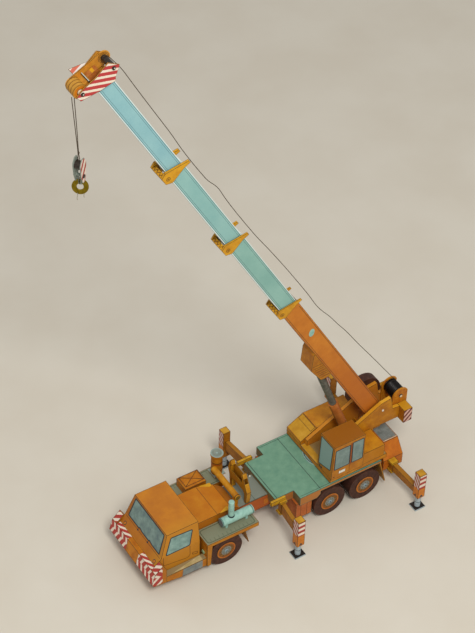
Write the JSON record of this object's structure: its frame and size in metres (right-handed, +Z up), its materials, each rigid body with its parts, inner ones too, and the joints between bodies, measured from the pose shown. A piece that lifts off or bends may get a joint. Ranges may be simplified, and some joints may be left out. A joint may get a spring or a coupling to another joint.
{
  "type": "card model of a mobile crane",
  "caption": "Card model of a truck-mounted telescopic crane with slewing upper works, luffing boom, outriggers and hook.",
  "frame": {"origin": "on the floor under the middle of the model's box", "axes": "+X towards the truck cab, +Y to the driver's left side, +Z up"},
  "size_m": [0.3504, 0.1634, 0.5965],
  "materials": {
    "orange_card": "printed card in orange, satin, with brown fold lines",
    "blue_card": "printed card in pale blue, satin",
    "deck_card": "printed card in grey green, mottled",
    "steel_card": "printed card in grey, satin",
    "tyre_card": "printed card in brown black, matt",
    "rim_card": "printed card in grey with an orange ring",
    "mint_card": "rolled card in pale mint, satin",
    "tail_card": "printed card in red orange, satin",
    "black_card": "black card, matt",
    "thread": "dark sewing thread",
    "brass_ring": "small plain brass ring"
  },
  "bodies": {
    "carrier": {"chassis_frame": "orange_card", "truck_cab": "orange_card", "bumper": "orange_card", "side_steps": "steel_card", "engine_cover": "orange_card", "fender_left": "orange_card", "fender_right": "orange_card", "storage_box": "orange_card", "muffler": "mint_card", "air_filter": "orange_card", "intake_tube": "orange_card", "boom_rest": "orange_card", "main_deck": "deck_card", "slewing_ring": "steel_card", "side_boxes": "orange_card", "mudguards": "black_card", "tail_body": "tail_card", "outrigger_yokes": "orange_card"},
    "upper": {"upper_base": "orange_card", "crane_cab": "orange_card", "left_housing": "orange_card", "right_housing": "orange_card", "side_frame": "orange_card", "winch_cheeks": "orange_card", "counterweight": "orange_card", "spare_tyre": "tyre_card", "spare_disc": "rim_card"},
    "winch": {"winch_drum": "black_card"},
    "boom": {"boom_base": "orange_card", "cylinder_bracket": "orange_card", "collar_0": "orange_card"},
    "section_1": {"boom_section_1": "blue_card", "collar_1": "orange_card"},
    "section_2": {"boom_section_2": "blue_card", "collar_2": "orange_card"},
    "section_3": {"boom_section_3": "blue_card", "boom_head": "orange_card", "head_sheaves": "orange_card"},
    "cylinder": {"luff_barrel": "orange_card"},
    "rod": {"luff_rod": "steel_card"},
    "falls": {"hoist_falls": "thread"},
    "hook": {"hook_block": "orange_card", "hook_ring": "brass_ring"},
    "axle_front": {"tyres_front": "tyre_card", "wheels_front": "rim_card"},
    "axle_middle": {"tyres_middle": "tyre_card", "wheels_middle": "rim_card"},
    "axle_rear": {"tyres_rear": "tyre_card", "wheels_rear": "rim_card"},
    "outrigger_front_left": {"outrigger_front_left": "orange_card"},
    "jack_front_left": {"jack_front_left": "black_card"},
    "outrigger_front_right": {"outrigger_front_right": "orange_card"},
    "jack_front_right": {"jack_front_right": "black_card"},
    "outrigger_rear_left": {"outrigger_rear_left": "orange_card"},
    "jack_rear_left": {"jack_rear_left": "black_card"},
    "outrigger_rear_right": {"outrigger_rear_right": "orange_card"},
    "jack_rear_right": {"jack_rear_right": "black_card"}
  },
  "joints": [
    {"name": "roll_front", "type": "hinge", "parent": "carrier", "child": "axle_front", "pos_m": [0.04976, 0, 0.0178], "axis": [0, 1, 0], "continuous": true},
    {"name": "roll_middle", "type": "hinge", "parent": "carrier", "child": "axle_middle", "pos_m": [-0.06804, 0, 0.0178], "axis": [0, 1, 0], "continuous": true},
    {"name": "roll_rear", "type": "hinge", "parent": "carrier", "child": "axle_rear", "pos_m": [-0.10929, 0, 0.0178], "axis": [0, 1, 0], "continuous": true},
    {"name": "swing_front_left", "type": "hinge", "parent": "carrier", "child": "outrigger_front_left", "pos_m": [-0.01804, 0.0315, 0.03175], "axis": [0, 0, -1], "range_deg": [0, 55]},
    {"name": "jack_front_left", "type": "slide", "parent": "outrigger_front_left", "child": "jack_front_left", "axis": [0, 0, 1], "range_m": [0, 0.01]},
    {"name": "swing_front_right", "type": "hinge", "parent": "carrier", "child": "outrigger_front_right", "pos_m": [-0.01804, -0.0315, 0.03175], "axis": [0, 0, 1], "range_deg": [0, 55]},
    {"name": "jack_front_right", "type": "slide", "parent": "outrigger_front_right", "child": "jack_front_right", "axis": [0, 0, 1], "range_m": [0, 0.01]},
    {"name": "swing_rear_left", "type": "hinge", "parent": "carrier", "child": "outrigger_rear_left", "pos_m": [-0.14604, 0.036, 0.0205], "axis": [0, 0, 1], "range_deg": [0, 55]},
    {"name": "jack_rear_left", "type": "slide", "parent": "outrigger_rear_left", "child": "jack_rear_left", "axis": [0, 0, 1], "range_m": [0, 0.01]},
    {"name": "swing_rear_right", "type": "hinge", "parent": "carrier", "child": "outrigger_rear_right", "pos_m": [-0.14604, -0.036, 0.0205], "axis": [0, 0, -1], "range_deg": [0, 55]},
    {"name": "jack_rear_right", "type": "slide", "parent": "outrigger_rear_right", "child": "jack_rear_right", "axis": [0, 0, 1], "range_m": [0, 0.01]},
    {"name": "slew", "type": "hinge", "parent": "carrier", "child": "upper", "pos_m": [-0.08604, 0, 0.041], "axis": [0, 0, 1], "continuous": true},
    {"name": "luff", "type": "hinge", "parent": "upper", "child": "boom", "pos_m": [-0.14524, 0, 0.0782], "axis": [0, -1, 0], "range_deg": [-54, 10]},
    {"name": "telescope_1", "type": "slide", "parent": "boom", "child": "section_1", "axis": [0.4955, 0, 0.8686], "range_m": [-0.095, 0]},
    {"name": "telescope_2", "type": "slide", "parent": "section_1", "child": "section_2", "axis": [0.4955, 0, 0.8686], "range_m": [-0.095, 0]},
    {"name": "telescope_3", "type": "slide", "parent": "section_2", "child": "section_3", "axis": [0.4955, 0, 0.8686], "range_m": [-0.095, 0]},
    {"name": "cylinder_turn", "type": "hinge", "parent": "upper", "child": "cylinder", "pos_m": [-0.11304, 0, 0.052], "axis": [0, -1, 0], "range_deg": [-60, 14]},
    {"name": "rod_slide", "type": "slide", "parent": "cylinder", "child": "rod", "axis": [0.3513, 0, 0.9362], "range_m": [-0.042, 0.012]},
    {"name": "winch_turn", "type": "hinge", "parent": "upper", "child": "winch", "pos_m": [-0.16724, 0, 0.0852], "axis": [0, 1, 0], "range_deg": [-800, 20]},
    {"name": "hang", "type": "hinge", "parent": "section_3", "child": "falls", "pos_m": [0.16633, 0, 0.57661], "axis": [0, -1, 0], "range_deg": [-12, 56]},
    {"name": "hoist", "type": "slide", "parent": "falls", "child": "hook", "axis": [0, 0, -1], "range_m": [-0.045, 0], "deforming": ["hoist_falls"]}
  ],
  "couplings": [
    {"joint": "cylinder_turn", "follows": "luff", "ratio": 1.03},
    {"joint": "rod_slide", "follows": "luff", "m_per_rad": 0.0395},
    {"joint": "hang", "follows": "luff", "ratio": -1},
    {"joint": "winch_turn", "follows": "hoist", "rad_per_m": 294}
  ]
}
